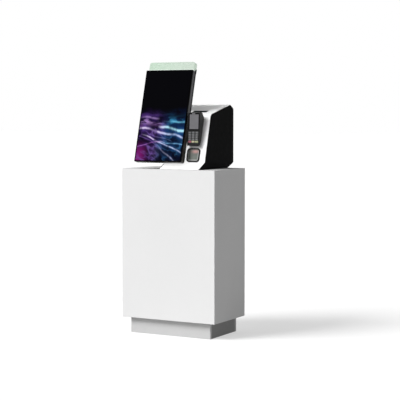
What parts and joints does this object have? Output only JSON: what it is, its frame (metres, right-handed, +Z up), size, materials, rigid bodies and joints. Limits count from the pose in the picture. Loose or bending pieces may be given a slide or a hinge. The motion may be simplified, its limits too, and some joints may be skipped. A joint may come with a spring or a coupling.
{
  "type": "self-service payment kiosk on a pedestal",
  "caption": "Free-standing order and pay kiosk: white pedestal cabinet, tilted portrait touch display with status light, card terminal, barcode scanner and receipt printer.",
  "frame": {"origin": "centre of the pedestal's foot, on the floor", "axes": "+Z up, the front faces -Y, +X is the right-hand side of a person facing the kiosk's front"},
  "size_m": [0.5724, 0.3997, 1.4783],
  "materials": {
    "lacquer_white": "white satin lacquer on board",
    "steel_plate": "zinc plated",
    "steel_bright": "bright plated",
    "cover_white": "white semi-gloss moulding",
    "panel_black": "black satin",
    "plastic_black": "black fine texture",
    "terminal_dark": "dark grey fine texture",
    "glass_black": "black glass, lit picture behind",
    "frame_grey": "dark anodised",
    "diffuser_green": "translucent pale green diffuser, lit",
    "board_green": "circuit board",
    "rubber_black": "matt",
    "paper_white": "thermal paper",
    "key_grey": "matt key cap",
    "key_red": "matt key cap",
    "key_yellow": "matt key cap",
    "key_green": "matt key cap",
    "scan_glass": "grey tinted window",
    "pc_grey": "satin housing"
  },
  "bodies": {
    "kiosk": {"floor_plate": "steel_plate", "plinth_front": "lacquer_white", "plinth_back": "lacquer_white", "plinth_left": "lacquer_white", "plinth_right": "lacquer_white", "cabinet_bottom_panel": "lacquer_white", "cabinet_front_panel": "lacquer_white", "cabinet_left_panel": "lacquer_white", "cabinet_right_panel": "lacquer_white", "cabinet_top_panel": "lacquer_white", "door_pivot_pin_upper": "steel_bright", "door_pivot_pin_lower": "steel_bright", "lock_strike": "steel_bright", "power_supply_unit": "pc_grey", "cable_grommet": "rubber_black", "head_base_plate": "steel_plate", "front_cover": "cover_white", "rear_cover": "cover_white", "lid_hinge_rod": "steel_bright", "left_side_panel": "panel_black", "right_side_panel": "panel_black", "receipt_slot_bezel": "plastic_black", "printer_chassis": "steel_plate", "print_head": "steel_plate", "paper_spindle": "plastic_black", "controller_pc": "pc_grey", "scanner_bezel": "plastic_black", "scanner_window": "scan_glass", "scanner_engine": "plastic_black", "terminal_bracket": "plastic_black", "terminal_body": "terminal_dark", "terminal_screen": "glass_black", "display_frame": "frame_grey", "display_panel": "pc_grey", "display_glass": "glass_black", "display_back_cover": "plastic_black", "display_bracket": "steel_plate", "status_light_cover": "diffuser_green", "status_light_board": "board_green"},
    "rear_door": {"rear_door": "lacquer_white"},
    "door_lock": {"door_lock_plug": "steel_bright", "door_lock_cam": "steel_bright"},
    "lid": {"top_lid": "cover_white"},
    "roll": {"paper_roll": "paper_white"},
    "platen": {"platen_roller": "rubber_black"},
    "key_1": {"key_1": "key_grey"},
    "key_2": {"key_2": "key_grey"},
    "key_3": {"key_3": "key_grey"},
    "key_4": {"key_4": "key_grey"},
    "key_5": {"key_5": "key_grey"},
    "key_6": {"key_6": "key_grey"},
    "key_7": {"key_7": "key_grey"},
    "key_8": {"key_8": "key_grey"},
    "key_9": {"key_9": "key_grey"},
    "key_star": {"key_star": "key_grey"},
    "key_0": {"key_0": "key_grey"},
    "key_hash": {"key_hash": "key_grey"},
    "key_cancel": {"key_cancel": "key_red"},
    "key_clear": {"key_clear": "key_yellow"},
    "key_enter": {"key_enter": "key_green"}
  },
  "joints": [
    {"name": "rear_door_hinge", "type": "hinge", "parent": "kiosk", "child": "rear_door", "pos_m": [-0.25925, 0.16765, 0.5], "axis": [0, 0, 1], "range_deg": [0, 100]},
    {"name": "door_lock_turn", "type": "hinge", "parent": "rear_door", "child": "door_lock", "pos_m": [0.235, 0.17565, 0.5], "axis": [0, -1, 0], "range_deg": [0, 90]},
    {"name": "lid_hinge", "type": "hinge", "parent": "kiosk", "child": "lid", "pos_m": [0.066, 0.18191, 1.23988], "axis": [-1, 0, 0], "range_deg": [0, 75]},
    {"name": "roll_spin", "type": "hinge", "parent": "kiosk", "child": "roll", "pos_m": [0.088, 0.115, 1.15], "axis": [1, 0, 0], "continuous": true},
    {"name": "platen_spin", "type": "hinge", "parent": "kiosk", "child": "platen", "pos_m": [0.088, 0.0385, 1.183], "axis": [1, 0, 0], "continuous": true},
    {"name": "key_1_press", "type": "slide", "parent": "kiosk", "child": "key_1", "axis": [0, 0.9983, -0.0582], "range_m": [0, 0.0015], "stiffness_N_per_m": 400},
    {"name": "key_2_press", "type": "slide", "parent": "kiosk", "child": "key_2", "axis": [0, 0.9983, -0.0582], "range_m": [0, 0.0015], "stiffness_N_per_m": 400},
    {"name": "key_3_press", "type": "slide", "parent": "kiosk", "child": "key_3", "axis": [0, 0.9983, -0.0582], "range_m": [0, 0.0015], "stiffness_N_per_m": 400},
    {"name": "key_4_press", "type": "slide", "parent": "kiosk", "child": "key_4", "axis": [0, 0.9983, -0.0582], "range_m": [0, 0.0015], "stiffness_N_per_m": 400},
    {"name": "key_5_press", "type": "slide", "parent": "kiosk", "child": "key_5", "axis": [0, 0.9983, -0.0582], "range_m": [0, 0.0015], "stiffness_N_per_m": 400},
    {"name": "key_6_press", "type": "slide", "parent": "kiosk", "child": "key_6", "axis": [0, 0.9983, -0.0582], "range_m": [0, 0.0015], "stiffness_N_per_m": 400},
    {"name": "key_7_press", "type": "slide", "parent": "kiosk", "child": "key_7", "axis": [0, 0.9983, -0.0582], "range_m": [0, 0.0015], "stiffness_N_per_m": 400},
    {"name": "key_8_press", "type": "slide", "parent": "kiosk", "child": "key_8", "axis": [0, 0.9983, -0.0582], "range_m": [0, 0.0015], "stiffness_N_per_m": 400},
    {"name": "key_9_press", "type": "slide", "parent": "kiosk", "child": "key_9", "axis": [0, 0.9983, -0.0582], "range_m": [0, 0.0015], "stiffness_N_per_m": 400},
    {"name": "key_star_press", "type": "slide", "parent": "kiosk", "child": "key_star", "axis": [0, 0.9983, -0.0582], "range_m": [0, 0.0015], "stiffness_N_per_m": 400},
    {"name": "key_0_press", "type": "slide", "parent": "kiosk", "child": "key_0", "axis": [0, 0.9983, -0.0582], "range_m": [0, 0.0015], "stiffness_N_per_m": 400},
    {"name": "key_hash_press", "type": "slide", "parent": "kiosk", "child": "key_hash", "axis": [0, 0.9983, -0.0582], "range_m": [0, 0.0015], "stiffness_N_per_m": 400},
    {"name": "key_cancel_press", "type": "slide", "parent": "kiosk", "child": "key_cancel", "axis": [0, 0.9983, -0.0582], "range_m": [0, 0.0015], "stiffness_N_per_m": 400},
    {"name": "key_clear_press", "type": "slide", "parent": "kiosk", "child": "key_clear", "axis": [0, 0.9983, -0.0582], "range_m": [0, 0.0015], "stiffness_N_per_m": 400},
    {"name": "key_enter_press", "type": "slide", "parent": "kiosk", "child": "key_enter", "axis": [0, 0.9983, -0.0582], "range_m": [0, 0.0015], "stiffness_N_per_m": 400}
  ],
  "couplings": [
    {"joint": "platen_spin", "follows": "roll_spin", "ratio": -5}
  ]
}
